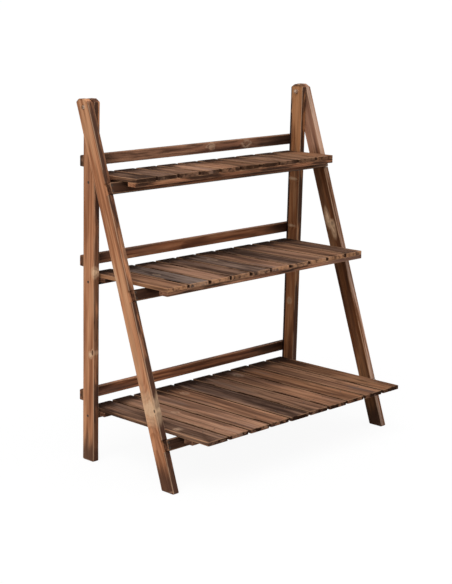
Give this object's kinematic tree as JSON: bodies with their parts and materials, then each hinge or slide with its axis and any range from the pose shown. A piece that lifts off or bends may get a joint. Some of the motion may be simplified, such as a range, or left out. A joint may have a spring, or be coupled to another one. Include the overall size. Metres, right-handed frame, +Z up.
{
  "type": "folding plant stand",
  "caption": "Folding A-frame plant stand in torched softwood, with slatted shelves that grow deeper towards the floor and low back rails.",
  "frame": {"origin": "on the floor, under the middle of the stand's bounding box, with the front frame open and the shelves in place", "axes": "+X to the right as seen from the front, -Y to the front, +Z up"},
  "size_m": [0.8, 0.453, 0.93],
  "materials": {
    "upright_wood": "torched softwood, brushed, matt",
    "leg_wood": "torched softwood, brushed, matt",
    "rail_wood": "darkly torched softwood, matt",
    "slat_wood": "torched softwood with burnt edges, matt",
    "batten_wood": "torched softwood, matt",
    "bolt_steel": "zinc plated",
    "screw_steel": "dark zinc",
    "nail_steel": "dull wire nail"
  },
  "bodies": {
    "rear_frame": {"rear_upright_left": "upright_wood", "rear_upright_right": "upright_wood", "back_rail_top": "rail_wood", "back_rail_middle": "rail_wood", "back_rail_bottom": "rail_wood", "rear_bearer_top": "rail_wood", "rear_bearer_middle": "rail_wood", "rear_bearer_bottom": "rail_wood", "pivot_bolt_left": "bolt_steel", "pivot_bolt_right": "bolt_steel", "pivot_washers": "bolt_steel", "pivot_nuts": "bolt_steel", "back_rail_screws": "screw_steel", "bearer_screws": "screw_steel"},
    "front_frame": {"front_leg_left": "leg_wood", "front_leg_right": "leg_wood", "front_rail_top": "rail_wood", "front_rail_middle": "rail_wood", "front_rail_bottom": "rail_wood", "front_rail_screws": "screw_steel"},
    "top_shelf": {"front_batten_top": "batten_wood", "rear_batten_top": "batten_wood", "slat_nails_top": "nail_steel", "slat_top_1": "slat_wood", "slat_top_2": "slat_wood", "slat_top_3": "slat_wood", "slat_top_4": "slat_wood", "slat_top_5": "slat_wood", "slat_top_6": "slat_wood", "slat_top_7": "slat_wood", "slat_top_8": "slat_wood", "slat_top_9": "slat_wood", "slat_top_10": "slat_wood"},
    "middle_shelf": {"front_batten_middle": "batten_wood", "rear_batten_middle": "batten_wood", "slat_nails_middle": "nail_steel", "slat_middle_1": "slat_wood", "slat_middle_2": "slat_wood", "slat_middle_3": "slat_wood", "slat_middle_4": "slat_wood", "slat_middle_5": "slat_wood", "slat_middle_6": "slat_wood", "slat_middle_7": "slat_wood", "slat_middle_8": "slat_wood", "slat_middle_9": "slat_wood", "slat_middle_10": "slat_wood"},
    "bottom_shelf": {"front_batten_bottom": "batten_wood", "rear_batten_bottom": "batten_wood", "slat_nails_bottom": "nail_steel", "slat_bottom_1": "slat_wood", "slat_bottom_2": "slat_wood", "slat_bottom_3": "slat_wood", "slat_bottom_4": "slat_wood", "slat_bottom_5": "slat_wood", "slat_bottom_6": "slat_wood", "slat_bottom_7": "slat_wood", "slat_bottom_8": "slat_wood", "slat_bottom_9": "slat_wood", "slat_bottom_10": "slat_wood"}
  },
  "joints": [
    {"name": "front_frame_fold", "type": "hinge", "parent": "rear_frame", "child": "front_frame", "pos_m": [0, 0.1667, 0.91], "axis": [1, 0, 0], "range_deg": [0, 17.7]},
    {"name": "top_shelf_lift", "type": "slide", "parent": "rear_frame", "child": "top_shelf", "axis": [0, -0.9397, 0.342], "range_m": [0, 0.2]},
    {"name": "middle_shelf_lift", "type": "slide", "parent": "rear_frame", "child": "middle_shelf", "axis": [0, -0.9397, 0.342], "range_m": [0, 0.32]},
    {"name": "bottom_shelf_lift", "type": "slide", "parent": "rear_frame", "child": "bottom_shelf", "axis": [0, -0.9397, 0.342], "range_m": [0, 0.46]}
  ]
}
